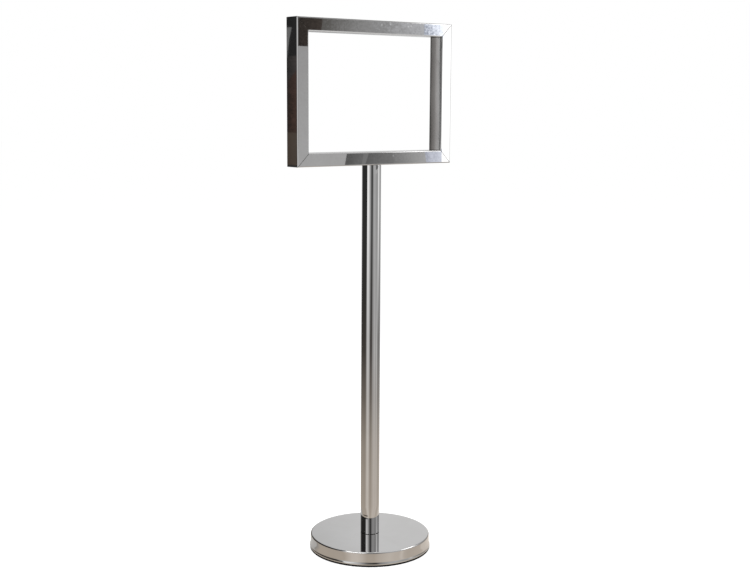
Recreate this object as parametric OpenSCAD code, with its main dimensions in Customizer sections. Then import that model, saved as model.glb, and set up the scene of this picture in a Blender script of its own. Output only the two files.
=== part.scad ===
// Sign stand: an open landscape frame of mitred tube on a round post and a weighted round base.
// Lengths are in millimetres. +Z is up, X runs along the frame and -Y is its front.
// The origin is on the floor, on the axis of the post.

/* [Sign opening] */
// Clear width of the opening, as a landscape A3 sheet
opening_w = 420; // [210:1:700]
// Clear height of the opening
opening_h = 297; // [148:1:600]
// Height of the frame's underside above the floor
frame_z = 1030; // [500:5:1500]

/* [Frame tube] */
// Width of the tube's front face
tube_face = 34; // [25:0.5:60]
// Depth of the tube from front to back
tube_depth = 50; // [40:0.5:90]
// Wall of the tube
tube_wall = 1.2; // [0.8:0.1:2]
// Outside radius of the tube's long edges
tube_edge_r = 3; // [2.5:0.1:6]
// Weld gap along each mitre
mitre_gap = 0.1; // [0.05:0.05:0.5]

/* [Post] */
// Outside diameter of the post
post_d = 50; // [38:0.5:70]
// Wall of the post
post_wall = 1.2; // [0.8:0.1:3]
// Bevel on the rims of the post's two ends
post_bevel = 0.4; // [0.1:0.1:0.7]
// Gap between the post and each of its end plugs
plug_gap = 0.05; // [0.02:0.01:0.2]
// Length of plug left beyond the end of its bolt
plug_spare = 4; // [2:1:20]

/* [Base cover] */
// Diameter of the cover's skirt
base_d = 320; // [220:1:480]
// Height of the cover's top above the floor
base_h = 39; // [32:0.5:80]
// Thickness of the cover's sheet
cover_t = 1; // [0.6:0.1:2]
// Outside radius of the cover's top edge
cover_edge_r = 4; // [2.2:0.1:6]
// How far the cover's foot sweeps out beyond its skirt
foot_flare = 2; // [1:0.1:4]
// Outside radius of that sweep
foot_sweep_r = 12; // [5:0.5:16]
// Height of the foot's straight rim
foot_rim_h = 2.4; // [2:0.1:8]

/* [Floor ring] */
// Thickness of the rubber under the cover
ring_t = 5; // [2:0.1:6]
// Width of the rubber band
ring_w = 22; // [12:1:40]
// How far the rubber stands back from the cover's rim
ring_setback = 0.4; // [0.1:0.1:1]
// Bevel on the rubber's outer edge, at the floor
ring_bevel = 0.8; // [0.2:0.1:1.5]
// How far the lip that centres the ring stops below the top of the foot's rim
lip_drop = 1.1; // [0.9:0.1:1.6]
// Gap on each side of that lip
lip_gap = 0.3; // [0.1:0.1:0.6]

/* [Weight] */
// Gap between the weight's edge and the cover's skirt
weight_gap = 0.5; // [0.2:0.1:2]
// How far the bevel on the weight's top edge clears the cover's inside corner
bevel_spare = 1.5; // [0.5:0.5:6]
// Thickness of the weight's top plate
weight_plate = 14; // [10:0.5:24]
// Width of the weight's outer wall
weight_wall = 26; // [24:1:50]
// Wall of the hub around the bolt's recess
hub_wall = 16; // [8:1:36]
// Number of ribs between the hub and the outer wall
rib_count = 6; // [3:1:12]
// Thickness of each rib at its lower edge
rib_t = 12; // [6:1:20]
// How far the pockets' walls lean in towards the plate, so that the casting leaves its mould
pocket_draft = 1; // [0.5:0.5:3]

/* [Fasteners] */
// Diameter of the two bolts
bolt_d = 12; // [8:1:14]
// How far the flats of a bolt's head stand out beyond its shank
head_grip = 3; // [2:0.5:5]
// Height of a bolt's head
head_h = 7.5; // [5:0.5:9]
// How far each bolt runs into its plug
thread_depth = 21; // [12:1:40]
// Gap between a bolt and the thread in its plug
thread_gap = 0.05; // [0.02:0.01:0.1]
// Gap around a bolt in a drilled hole
hole_gap = 0.5; // [0.2:0.1:1.5]
// Room under the tie bolt's head, above the floor
head_lift = 6; // [4:0.5:10]
// Rim of the flat washer, from hole to edge
washer_rim = 12; // [8:0.5:16]
// Thickness of the flat washer
washer_t = 3; // [1.5:0.5:4]
// Gap around the flat washer in its recess
recess_gap = 2; // [0.5:0.5:6]
// Rim of the spring washer
spring_rim = 4; // [2:0.5:6]
// Thickness of the spring washer
spring_t = 2.5; // [1.5:0.5:3]
// Width of the cut through the spring washer
spring_cut = 1.2; // [0.5:0.1:3]
// Thickness of the gasket under the post
gasket_t = 1; // [0.5:0.1:2]
// How far the gasket stands back from the post's surface
gasket_setback = 1; // [0.5:0.1:3]
// Length of the plate inside the bottom rail
plate_len = 80; // [40:1:140]
// Thickness of that plate
plate_t = 4; // [2:0.5:8]

/* [Hidden] */
$fn = 96;
// Overshoot of a cut beyond the face that it opens
over = 1;
// Colours of the finishes
polished_steel = "#c9c9cb";
plated_steel = "#b4b6b8";
mill_steel = "#a8aaac";
iron_grey = "#4a4b4d";
rubber_black = "#1a1a1a";
// Outside of the frame
frame_w = opening_w + 2 * tube_face;
frame_h = opening_h + 2 * tube_face;
// Radii of the base, from the outside in
skirt_r = base_d / 2;
rim_r = skirt_r + foot_flare;
ring_r = rim_r - ring_setback;
weight_r = skirt_r - cover_t - weight_gap;
weight_bevel = cover_edge_r - cover_t + bevel_spare;
pocket_r = weight_r - weight_wall;
hole_r = bolt_d / 2 + hole_gap;
washer_r = hole_r + washer_rim;
recess_r = washer_r + recess_gap;
hub_r = recess_r + hub_wall;
// Drop of the foot's sweep, from the skirt to the straight rim
sweep_h = sqrt(pow(foot_sweep_r, 2) - pow(foot_sweep_r - foot_flare, 2));
// Heights of the base, from the floor up
sweep_z = ring_t + foot_rim_h + sweep_h;
weight_top = base_h - cover_t;
weight_h = weight_top - ring_t;
pocket_top = weight_top - weight_plate;
spring_z = head_lift + head_h;
washer_z = spring_z + spring_t;
seat_z = washer_z + washer_t;
// Ends of the post
post_z = base_h + gasket_t;
post_r = post_d / 2;
plug_len = thread_depth + plug_spare;
// Top of the plate inside the bottom rail, where the head bolt sits
plate_z = frame_z + tube_wall;
head_seat_z = plate_z + plate_t;

// Rectangle with exact round corners, centred
module rounded_rect(w, h, r) {
    square([w - 2 * r, h], center = true);
    square([w, h - 2 * r], center = true);
    for (x = [-1, 1], y = [-1, 1])
        translate([x * (w / 2 - r), y * (h / 2 - r)])
            circle(r);
}

// Cross-section of the frame tube: face along X, depth along Y
module tube_section() {
    difference() {
        rounded_rect(tube_face, tube_depth, tube_edge_r);
        rounded_rect(tube_face - 2 * tube_wall, tube_depth - 2 * tube_wall, tube_edge_r - tube_wall);
    }
}

// Tube along X with both ends mitred at 45 degrees: its outer face lies on Z = 0, its inner face above
module mitred_tube(length) {
    half = length / 2 - mitre_gap / sqrt(2);
    intersection() {
        translate([0, 0, tube_face / 2])
            rotate([0, 90, 0])
                linear_extrude(length, center = true)
                    tube_section();
        rotate([90, 0, 0])
            linear_extrude(tube_depth + 2 * over, center = true)
                polygon([
                    [-half - over, -over],
                    [half + over, -over],
                    [half - tube_face - over, tube_face + over],
                    [-half + tube_face + over, tube_face + over]
                ]);
    }
}

// Flat ring standing on Z = 0
module ring(r_out, r_in, h) {
    difference() {
        cylinder(r = r_out, h = h);
        translate([0, 0, -over])
            cylinder(r = r_in, h = h + 2 * over);
    }
}

// Half profile of the cover: a drum with a rounded top edge and a foot that sweeps outwards
module cover_outline(r, top, bottom, edge_r, sweep_r) {
    translate([0, bottom])
        square([r, top - edge_r - bottom]);
    translate([0, bottom])
        square([r - edge_r, top - bottom]);
    translate([r - edge_r, top - edge_r])
        circle(edge_r);
    difference() {
        translate([r - edge_r, bottom])
            square([edge_r + foot_flare, sweep_z - bottom]);
        translate([r + sweep_r, sweep_z])
            circle(sweep_r);
    }
}

// Hexagon bolt whose head sits under Z = 0, with its shank upwards
module hex_bolt(shank) {
    flat_r = bolt_d / 2 + head_grip;
    cylinder(d = bolt_d, h = shank);
    translate([0, 0, -head_h])
        intersection() {
            cylinder(r = flat_r / cos(30), h = head_h, $fn = 6);
            // A cone takes the corners off the head's outer end
            cylinder(r1 = flat_r, r2 = flat_r + head_h, h = head_h);
        }
}

// Threaded plug in an end of the post, standing on Z = 0
module post_plug() {
    ring(post_r - post_wall - plug_gap, bolt_d / 2 + thread_gap, plug_len);
}

module floor_ring() {
    inner_r = ring_r - ring_w;
    lip_in = weight_r + lip_gap;
    lip_out = rim_r - cover_t - lip_gap;
    lip_top = ring_t + foot_rim_h - lip_drop;
    color(rubber_black)
        rotate_extrude()
            polygon([
                [inner_r, 0],
                [ring_r - ring_bevel, 0],
                [ring_r, ring_bevel],
                [ring_r, ring_t],
                [lip_out, ring_t],
                [lip_out, lip_top],
                [lip_in, lip_top],
                [lip_in, ring_t],
                [inner_r, ring_t]
            ]);
}

// Hollow under the weight, all round between the hub and the outer wall
module pocket_ring() {
    rotate_extrude()
        polygon([
            [hub_r, ring_t - over],
            [pocket_r, ring_t - over],
            [pocket_r, ring_t],
            [pocket_r - pocket_draft, pocket_top],
            [hub_r + pocket_draft, pocket_top],
            [hub_r, ring_t]
        ]);
}

// Rib along +X that stays standing in that hollow, thicker towards the plate
module rib() {
    edge = rib_t / 2;
    root = edge + pocket_draft;
    rotate([90, 0, 90])
        linear_extrude(pocket_r + over)
            polygon([
                [-edge, 0],
                [edge, 0],
                [edge, ring_t],
                [root, pocket_top],
                [root, base_h],
                [-root, base_h],
                [-root, pocket_top],
                [-edge, ring_t]
            ]);
}

module base_weight() {
    color(iron_grey)
        difference() {
            translate([0, 0, ring_t])
                rotate_extrude()
                    polygon([
                        [0, 0],
                        [weight_r, 0],
                        [weight_r, weight_h - weight_bevel],
                        [weight_r - weight_bevel, weight_h],
                        [0, weight_h]
                    ]);
            difference() {
                pocket_ring();
                for (i = [0 : rib_count - 1])
                    rotate(i * 360 / rib_count)
                        rib();
            }
            cylinder(r = hole_r, h = base_h);
            cylinder(r = recess_r, h = seat_z);
        }
}

module base_cover() {
    color(polished_steel)
        rotate_extrude()
            difference() {
                cover_outline(skirt_r, base_h, ring_t, cover_edge_r, foot_sweep_r);
                cover_outline(
                    skirt_r - cover_t, weight_top, ring_t - over,
                    cover_edge_r - cover_t, foot_sweep_r + cover_t
                );
                square([hole_r, base_h + over]);
            }
}

module flat_washer() {
    color(plated_steel)
        translate([0, 0, washer_z])
            ring(washer_r, hole_r, washer_t);
}

module foot_gasket() {
    color(rubber_black)
        translate([0, 0, base_h])
            ring(post_r - gasket_setback, hole_r, gasket_t);
}

module tie_bolt() {
    color(plated_steel)
        translate([0, 0, spring_z])
            hex_bolt(post_z - spring_z + thread_depth);
}

module spring_washer() {
    color(plated_steel)
        translate([0, 0, spring_z])
            difference() {
                ring(hole_r + spring_rim, hole_r, spring_t);
                translate([0, -spring_cut / 2, -over])
                    cube([hole_r + spring_rim + over, spring_cut, spring_t + 2 * over]);
            }
}

module foot_plug() {
    color(mill_steel)
        translate([0, 0, post_z])
            post_plug();
}

module post_tube() {
    inner_r = post_r - post_wall;
    color(polished_steel)
        rotate_extrude()
            polygon([
                [inner_r, post_z],
                [post_r - post_bevel, post_z],
                [post_r, post_z + post_bevel],
                [post_r, frame_z - post_bevel],
                [post_r - post_bevel, frame_z],
                [inner_r, frame_z]
            ]);
}

module head_plug() {
    color(mill_steel)
        translate([0, 0, frame_z - plug_len])
            post_plug();
}

module head_bolt() {
    color(plated_steel)
        translate([0, 0, head_seat_z])
            mirror([0, 0, 1])
                hex_bolt(head_seat_z - frame_z + thread_depth);
}

module head_plate() {
    color(mill_steel)
        translate([0, 0, plate_z])
            difference() {
                translate([-plate_len / 2, -tube_depth / 2 + tube_edge_r, 0])
                    cube([plate_len, tube_depth - 2 * tube_edge_r, plate_t]);
                translate([0, 0, -over])
                    cylinder(r = hole_r, h = plate_t + 2 * over);
            }
}

module bottom_rail() {
    color(polished_steel)
        translate([0, 0, frame_z])
            difference() {
                mitred_tube(frame_w);
                translate([0, 0, -over])
                    cylinder(r = hole_r, h = tube_wall + 2 * over);
            }
}

module top_rail() {
    color(polished_steel)
        translate([0, 0, frame_z + frame_h])
            mirror([0, 0, 1])
                mitred_tube(frame_w);
}

// Stile whose outer face looks along -X
module stile() {
    translate([-frame_w / 2, 0, frame_z + frame_h / 2])
        rotate([0, 90, 0])
            mitred_tube(frame_h);
}

module left_stile() {
    color(polished_steel)
        stile();
}

module right_stile() {
    color(polished_steel)
        mirror([1, 0, 0])
            stile();
}

floor_ring();
base_weight();
base_cover();
flat_washer();
foot_gasket();
tie_bolt();
spring_washer();
foot_plug();
post_tube();
head_plug();
head_bolt();
head_plate();
bottom_rail();
top_rail();
left_stile();
right_stile();
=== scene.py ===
import math

import bmesh
import bpy
from mathutils import Matrix, Vector


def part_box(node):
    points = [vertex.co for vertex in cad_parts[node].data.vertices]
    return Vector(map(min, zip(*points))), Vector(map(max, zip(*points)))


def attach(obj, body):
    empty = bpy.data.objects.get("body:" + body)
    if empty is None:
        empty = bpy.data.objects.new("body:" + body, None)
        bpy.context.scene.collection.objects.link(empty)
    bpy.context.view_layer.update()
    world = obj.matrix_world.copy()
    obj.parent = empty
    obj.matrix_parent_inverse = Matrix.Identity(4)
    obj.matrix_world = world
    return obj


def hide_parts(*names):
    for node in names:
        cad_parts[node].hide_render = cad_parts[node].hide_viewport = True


# Looks of the sign stand: its polished, plated, cast and rubber pieces, and the studio that shows them
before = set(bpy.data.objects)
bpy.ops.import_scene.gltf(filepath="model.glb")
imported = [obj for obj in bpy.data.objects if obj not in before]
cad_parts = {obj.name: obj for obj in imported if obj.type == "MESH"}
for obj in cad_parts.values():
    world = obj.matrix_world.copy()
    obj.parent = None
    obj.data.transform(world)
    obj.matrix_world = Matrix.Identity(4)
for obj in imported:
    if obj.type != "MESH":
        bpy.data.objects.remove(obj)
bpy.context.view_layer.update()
scene = bpy.context.scene

# Sizes of the stand in metres, read from the frame
left_low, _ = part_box("left_stile")
rail_low, rail_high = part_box("bottom_rail")
top_low, top_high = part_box("top_rail")
post_low, post_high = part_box("post_tube")
cover_low, cover_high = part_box("base_cover")
_, ring_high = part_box("floor_ring")
gasket_low, gasket_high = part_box("foot_gasket")
weight_low, weight_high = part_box("base_weight")
_, washer_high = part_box("flat_washer")

frame_w = -2 * left_low.x
frame_h = top_high.z - rail_low.z
frame_mid = (top_high.z + rail_low.z) / 2
tube_face = rail_high.z - rail_low.z
tube_depth = rail_high.y - rail_low.y
front_y = rail_low.y
mitre_cut = frame_w / 2 - rail_high.x
post_r = post_high.x
rim_r = cover_high.x

# Sizes that the frame's boxes don't hold, as the construction has them
tube_wall = 0.0012
tube_edge_r = 0.003
mitre_bevel = 0.0005
post_wall = 0.0012
post_bevel = 0.0004
cover_t = 0.001
cover_edge_r = 0.004
foot_flare = 0.002
foot_sweep_r = 0.012
foot_rim_h = 0.0024
ring_w = 0.022
ring_bevel = 0.0008
lip_gap = 0.0003
weight_gap = 0.0005
bolt_hole_r = 0.0065
gasket_round = 0.0003
weight_bevel = 0.0045
hub_r = 0.0365
pocket_r = 0.1325
pocket_top = 0.024
pocket_draft = 0.001
recess_r = 0.0205
rib_t = 0.012
cast_round = 0.0015
washer_round = 0.0004
spring_round = 0.0003
plug_round = 0.0006
plate_round = 0.0008
bolt_head_h = 0.0075
thread_r = 0.00595
thread_pitch = 0.00175

# Sizes that follow from both
skirt_r = rim_r - foot_flare
opening_x = -left_low.x - tube_face

# Steps round a turned piece and along a rounded edge, and counts of what repeats
TURN_STEPS = 192
EDGE_STEPS = 8
MITRE_STEPS = 2
SWEEP_STEPS = 10
THREAD_STEPS = 36
SOFT_STEPS = 3
HUB_STEPS = 24
POCKET_STEPS = 72
HEX_CUTS = 7
RIB_COUNT = 6

# Edges that bend less are shaded smooth, and faces that bend less still are made one
SMOOTH_BELOW = math.radians(32)
FLAT_BELOW = math.radians(0.5)

# How far the larger faces set the shading at an edge: 50 is even, 100 the most
FLAT_WEIGHT = 100

# Points closer than this are one, and a cut takes in points as close as this, in metres
MERGE_DIST = 1e-6
CUT_DIST = 1e-7

# Thread in shares of its pitch, its tip as a share of the root and the head's end as a share of the flats
THREAD_DEPTH = 0.613
CREST_TO = 1 / 8
ROOT_FROM = 7 / 16
ROOT_TO = 11 / 16
TIP_SHARE = 0.94
HEAD_END_SHARE = 0.95

# Turns of thread that are drawn past each end and cut off, and the angles of the hexagon and its cone
SPARE_TURNS = 2
HEX_HALF_SIDE = math.radians(30)
HEAD_CONE = math.radians(30)

# Places of the axes in a vector
X, Y, Z = range(3)

# Camera, set to the photograph's viewing angle; angles in degrees, lengths in metres
PICTURE_W = 750
FOCAL_PIXELS = 1230
SENSOR_W = 36
CAMERA_AZIMUTH = -36.41
CAMERA_DISTANCE = 3.1998
CAMERA_HEIGHT = 1.1904
CAMERA_YAW = -0.19
CAMERA_PITCH = 8.71
CAMERA_ROLL = 0.31

# Angle of the camera's side about the post, and a full turn, in degrees
CAMERA_SIDE = CAMERA_AZIMUTH - 90
FULL_TURN = 360


def camera_frame():
    """Where the camera stands, and its right, up and forward directions."""
    around = math.radians(CAMERA_AZIMUTH)
    place = Vector((math.sin(around), -math.cos(around), 0)) * CAMERA_DISTANCE
    place.z = CAMERA_HEIGHT
    turn = math.radians(CAMERA_AZIMUTH + CAMERA_YAW)
    down = math.radians(CAMERA_PITCH)
    roll = math.radians(CAMERA_ROLL)
    forward = Vector((-math.sin(turn) * math.cos(down), math.cos(turn) * math.cos(down), -math.sin(down)))
    level = Vector((math.cos(turn), math.sin(turn), 0))
    upright = level.cross(forward)
    right = math.cos(roll) * level + math.sin(roll) * upright
    up = right.cross(forward)
    return place, right, up, forward


camera_place, camera_right, camera_up, camera_forward = camera_frame()


def make_camera():
    data = bpy.data.cameras.new("camera")
    data.sensor_width = SENSOR_W
    data.lens = FOCAL_PIXELS / PICTURE_W * SENSOR_W
    camera = bpy.data.objects.new("camera", data)
    turn = Matrix((camera_right, camera_up, -camera_forward)).transposed()
    camera.matrix_world = Matrix.Translation(camera_place) @ turn.to_4x4()
    scene.collection.objects.link(camera)
    scene.camera = camera


# Shader nodes

# Sockets of a colour mix, whose names other kinds of mix share
MIX_FACTOR = 0
MIX_FIRST = 6
MIX_SECOND = 7
MIX_RESULT = 2


def add_node(tree, kind, settings=None):
    """A node whose inputs, or else properties, take the settings of the same name."""
    node = tree.nodes.new(kind)
    for name, value in (settings or {}).items():
        if isinstance(name, int) or name in node.inputs:
            node.inputs[name].default_value = value
        else:
            setattr(node, name, value)
    return node


def link(tree, source, output, target, entry):
    tree.links.new(source.outputs[output], target.inputs[entry])


def new_group(name, inputs, outputs):
    """An empty node group with named sockets, and its own input and output nodes."""
    group = bpy.data.node_groups.new(name, "ShaderNodeTree")
    for label, kind, value in inputs:
        socket = group.interface.new_socket(label, in_out="INPUT", socket_type=kind)
        if value is not None:
            socket.default_value = value
    for label, kind in outputs:
        group.interface.new_socket(label, in_out="OUTPUT", socket_type=kind)
    return group, group.nodes.new("NodeGroupInput"), group.nodes.new("NodeGroupOutput")


def place_group(tree, group, settings=None):
    node = tree.nodes.new("ShaderNodeGroup")
    node.node_tree = group
    for name, value in (settings or {}).items():
        node.inputs[name].default_value = value
    return node


def make_haze_group():
    """Soft cloudy patches, as a wiped metal or rubber surface has."""
    group, enter, leave = new_group(
        "wiped_haze",
        [("Vector", "NodeSocketVector", None), ("Scale", "NodeSocketFloat", 12.0)],
        [("Haze", "NodeSocketFloat")],
    )
    clouds = add_node(group, "ShaderNodeTexNoise", {"Detail": 4.0, "Roughness": 0.55, "Distortion": 0.6})
    spread = add_node(group, "ShaderNodeMapRange", {"From Min": 0.38, "From Max": 0.68})
    link(group, enter, "Vector", clouds, "Vector")
    link(group, enter, "Scale", clouds, "Scale")
    link(group, clouds, "Fac", spread, "Value")
    link(group, spread, "Result", leave, "Haze")
    return group


def make_speck_group():
    """Scattered small specks: dust and dried water on the pieces, and painted glints on the reflection
    cards; a few cells of a pattern hold one each.
    """
    group, enter, leave = new_group(
        "dust_specks_and_glints",
        [
            ("Vector", "NodeSocketVector", None),
            ("Scale", "NodeSocketFloat", 90.0),
            ("Size", "NodeSocketFloat", 0.18),
            ("Share", "NodeSocketFloat", 0.2),
        ],
        [("Specks", "NodeSocketFloat")],
    )
    cells = add_node(group, "ShaderNodeTexVoronoi", {"Randomness": 1.0})
    pick = add_node(group, "ShaderNodeSeparateColor")
    chosen = add_node(group, "ShaderNodeMath", {"operation": "LESS_THAN"})
    dot = add_node(group, "ShaderNodeMapRange", {"To Min": 1.0, "To Max": 0.0})
    both = add_node(group, "ShaderNodeMath", {"operation": "MULTIPLY"})
    link(group, enter, "Vector", cells, "Vector")
    link(group, enter, "Scale", cells, "Scale")
    link(group, cells, "Color", pick, "Color")
    link(group, pick, "Red", chosen, 0)
    link(group, enter, "Share", chosen, 1)
    link(group, cells, "Distance", dot, "Value")
    link(group, enter, "Size", dot, "From Max")
    link(group, chosen, "Value", both, 0)
    link(group, dot, "Result", both, 1)
    link(group, both, "Value", leave, "Specks")
    return group


def make_line_group():
    """Fine lines left by the polishing wheel, drawn out along one axis of the incoming vector."""
    group, enter, leave = new_group(
        "polish_lines",
        [("Vector", "NodeSocketVector", None), ("Stretch", "NodeSocketVector", (6.0, 900.0, 900.0))],
        [("Lines", "NodeSocketFloat")],
    )
    drawn = add_node(group, "ShaderNodeVectorMath", {"operation": "MULTIPLY"})
    grain = add_node(group, "ShaderNodeTexNoise", {"Scale": 1.0, "Detail": 3.0, "Roughness": 0.6})
    link(group, enter, "Vector", drawn, 0)
    link(group, enter, "Stretch", drawn, 1)
    link(group, drawn, "Vector", grain, "Vector")
    link(group, grain, "Fac", leave, "Lines")
    return group


wiped_haze = make_haze_group()
dust_specks_and_glints = make_speck_group()
polish_lines = make_line_group()

STEEL = (0.555, 0.552, 0.552, 1)
STEEL_HAZED = (0.535, 0.53, 0.528, 1)
SPECK = (0.7, 0.7, 0.7, 1)
SEAM = (0.06, 0.055, 0.05, 1)
RUBBER = (0.004, 0.004, 0.004, 1)
RUBBER_BLOOM = (0.009, 0.009, 0.009, 1)
RUBBER_DUST = (0.04, 0.038, 0.036, 1)

# Roughness of polished steel, what lines, specks and seams add to it, and what haze adds to plain metal
ROUGH_CLEAN = 0.015
ROUGH_HAZED = 0.04
LINE_ROUGH = 0.012
SPECK_ROUGH = 0.3
SEAM_ROUGH = 0.4
PLAIN_HAZE_ROUGH = 0.15


def new_material(name, metallic, roughness):
    """A material with a Principled surface and object coordinates."""
    material = bpy.data.materials.new(name)
    material.use_nodes = True
    tree = material.node_tree
    tree.nodes.clear()
    surface = add_node(tree, "ShaderNodeBsdfPrincipled", {"Metallic": metallic, "Roughness": roughness})
    result = add_node(tree, "ShaderNodeOutputMaterial")
    place = add_node(tree, "ShaderNodeTexCoord")
    link(tree, surface, "BSDF", result, "Surface")
    return material, tree, surface, place


def add_bump(tree, surface, source, output, depth):
    bump = add_node(tree, "ShaderNodeBump", {"Strength": 1.0, "Distance": depth})
    link(tree, source, output, bump, "Height")
    link(tree, bump, "Normal", surface, "Normal")


def blend(tree, factor, output, first, second):
    """A colour mix; each end is a colour, or the colour mix that comes before it."""
    mix = add_node(tree, "ShaderNodeMix", {"data_type": "RGBA"})
    link(tree, factor, output, mix, MIX_FACTOR)
    for entry, end in ((MIX_FIRST, first), (MIX_SECOND, second)):
        if isinstance(end, bpy.types.Node):
            link(tree, end, MIX_RESULT, mix, entry)
        else:
            mix.inputs[entry].default_value = end
    return mix


def add_scaled(tree, source, output, share, base):
    """A value plus a share of another one."""
    total = add_node(tree, "ShaderNodeMath", {"operation": "MULTIPLY_ADD", 1: share})
    link(tree, source, output, total, 0)
    link(tree, base, 0, total, 2)
    return total


def polished_steel(name, stretch, wave_scale, wave_depth, speck_share=0.0, seamed=False):
    """Mirror-polished stainless steel: wiped haze, polishing lines and the slight waves of the sheet.
    The frame's tubes also have a few specks, and dark seams where the seam attribute marks their mitres."""
    material, tree, surface, place = new_material(name, metallic=1.0, roughness=ROUGH_CLEAN)
    haze = place_group(tree, wiped_haze, {"Scale": 14.0})
    lines = place_group(tree, polish_lines, {"Stretch": stretch})
    link(tree, place, "Object", haze, "Vector")
    link(tree, place, "Object", lines, "Vector")
    tint = blend(tree, haze, "Haze", STEEL, STEEL_HAZED)
    dull = add_node(tree, "ShaderNodeMapRange", {"To Min": ROUGH_CLEAN, "To Max": ROUGH_HAZED})
    link(tree, haze, "Haze", dull, "Value")
    rough = add_scaled(tree, lines, "Lines", LINE_ROUGH, dull)
    if speck_share:
        specks = place_group(tree, dust_specks_and_glints, {"Scale": 110.0, "Size": 0.2, "Share": speck_share})
        link(tree, place, "Object", specks, "Vector")
        tint = blend(tree, specks, "Specks", tint, SPECK)
        rough = add_scaled(tree, specks, "Specks", SPECK_ROUGH, rough)
    if seamed:
        seam = add_node(tree, "ShaderNodeAttribute", {"attribute_name": "seam"})
        tint = blend(tree, seam, "Fac", tint, SEAM)
        rough = add_scaled(tree, seam, "Fac", SEAM_ROUGH, rough)
    link(tree, tint, MIX_RESULT, surface, "Base Color")
    link(tree, rough, 0, surface, "Roughness")
    waves = add_node(tree, "ShaderNodeTexNoise", {"Scale": wave_scale, "Detail": 1.0, "Roughness": 0.4})
    link(tree, place, "Object", waves, "Vector")
    add_bump(tree, surface, waves, "Fac", wave_depth)
    return material


def black_rubber():
    """Moulded rubber with a faint bloom and floor dust."""
    material, tree, surface, place = new_material("black_rubber", metallic=0.0, roughness=0.8)
    surface.inputs["Specular IOR Level"].default_value = 0.05
    haze = place_group(tree, wiped_haze, {"Scale": 30.0})
    specks = place_group(tree, dust_specks_and_glints, {"Scale": 400.0, "Size": 0.3, "Share": 0.1})
    for group in (haze, specks):
        link(tree, place, "Object", group, "Vector")
    tint = blend(tree, haze, "Haze", RUBBER, RUBBER_BLOOM)
    dusty = blend(tree, specks, "Specks", tint, RUBBER_DUST)
    link(tree, dusty, MIX_RESULT, surface, "Base Color")
    dull = add_node(tree, "ShaderNodeMapRange", {"To Min": 0.7, "To Max": 0.9})
    link(tree, haze, "Haze", dull, "Value")
    link(tree, dull, "Result", surface, "Roughness")
    skin = add_node(tree, "ShaderNodeTexNoise", {"Scale": 1500.0, "Detail": 2.0})
    link(tree, place, "Object", skin, "Vector")
    add_bump(tree, surface, skin, "Fac", depth=0.00005)
    return material


def plain_metal(name, colour, hazed, rough, grain_scale, grain_depth):
    """Unpolished metal of the hidden pieces: plated bolts, turned plugs or a rough casting."""
    material, tree, surface, place = new_material(name, metallic=1.0, roughness=rough)
    haze = place_group(tree, wiped_haze, {"Scale": 60.0})
    link(tree, place, "Object", haze, "Vector")
    tint = blend(tree, haze, "Haze", colour, hazed)
    link(tree, tint, MIX_RESULT, surface, "Base Color")
    dull = add_node(tree, "ShaderNodeMapRange", {"To Min": rough, "To Max": rough + PLAIN_HAZE_ROUGH})
    link(tree, haze, "Haze", dull, "Value")
    link(tree, dull, "Result", surface, "Roughness")
    grain = add_node(tree, "ShaderNodeTexNoise", {"Scale": grain_scale, "Detail": 5.0, "Roughness": 0.65})
    link(tree, place, "Object", grain, "Vector")
    add_bump(tree, surface, grain, "Fac", grain_depth)
    return material


# Stretch of the polishing lines along each axis; depths of waves and grain are in metres
ALONG_X = (6.0, 900.0, 900.0)
ALONG_Z = (900.0, 900.0, 6.0)
ALL_ROUND = (300.0, 300.0, 300.0)
rail_steel = polished_steel(
    "rail_steel", ALONG_X, wave_scale=9.0, wave_depth=0.00012, speck_share=0.05, seamed=True,
)
stile_steel = polished_steel(
    "stile_steel", ALONG_Z, wave_scale=9.0, wave_depth=0.00006, speck_share=0.012, seamed=True,
)
post_steel = polished_steel("post_steel", ALONG_Z, wave_scale=5.0, wave_depth=0.00003)
cover_steel = polished_steel("cover_steel", ALL_ROUND, wave_scale=6.0, wave_depth=0.00003)
rubber = black_rubber()
plated_steel = plain_metal(
    "plated_steel", colour=(0.62, 0.63, 0.65, 1), hazed=(0.5, 0.51, 0.53, 1),
    rough=0.28, grain_scale=300.0, grain_depth=0.00004,
)
mill_steel = plain_metal(
    "mill_steel", colour=(0.5, 0.49, 0.48, 1), hazed=(0.38, 0.37, 0.36, 1),
    rough=0.38, grain_scale=500.0, grain_depth=0.00006,
)
cast_iron = plain_metal(
    "cast_iron", colour=(0.1, 0.1, 0.105, 1), hazed=(0.055, 0.053, 0.052, 1),
    rough=0.55, grain_scale=220.0, grain_depth=0.0006,
)


# Pieces

def all_parts(bm):
    return bm.verts[:] + bm.edges[:] + bm.faces[:]


def only(kind, geometry):
    return [part for part in geometry if isinstance(part, kind)]


def edges_at(points):
    """The edges at these points, each one once and in a fixed order."""
    return list(dict.fromkeys(edge for point in points for edge in point.link_edges))


def spin(bm, geometry, angle, steps, rise=0.0, **options):
    """Turns geometry about the post's axis, with a rise at each step."""
    bmesh.ops.spin(
        bm, geom=geometry, cent=(0, 0, 0), axis=(0, 0, 1), dvec=(0, 0, rise),
        angle=angle, steps=steps, **options,
    )


def make_piece(bm, name, material, body, node):
    """Turns a finished bmesh into a smooth-shaded piece that stands for a node of the frame."""
    mesh = bpy.data.meshes.new(name)
    bmesh.ops.recalc_face_normals(bm, faces=bm.faces[:])
    for face in bm.faces:
        face.smooth = True
    bm.to_mesh(mesh)
    bm.free()
    mesh.set_sharp_from_angle(angle=SMOOTH_BELOW)
    mesh.materials.append(material)
    piece = bpy.data.objects.new(name, mesh)
    scene.collection.objects.link(piece)
    # Flats keep their own normals, so that the bend shows only along the rounded edges
    normals = piece.modifiers.new("flat_faces", "WEIGHTED_NORMAL")
    normals.keep_sharp = True
    normals.weight = FLAT_WEIGHT
    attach(piece, body)
    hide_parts(node)


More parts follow.
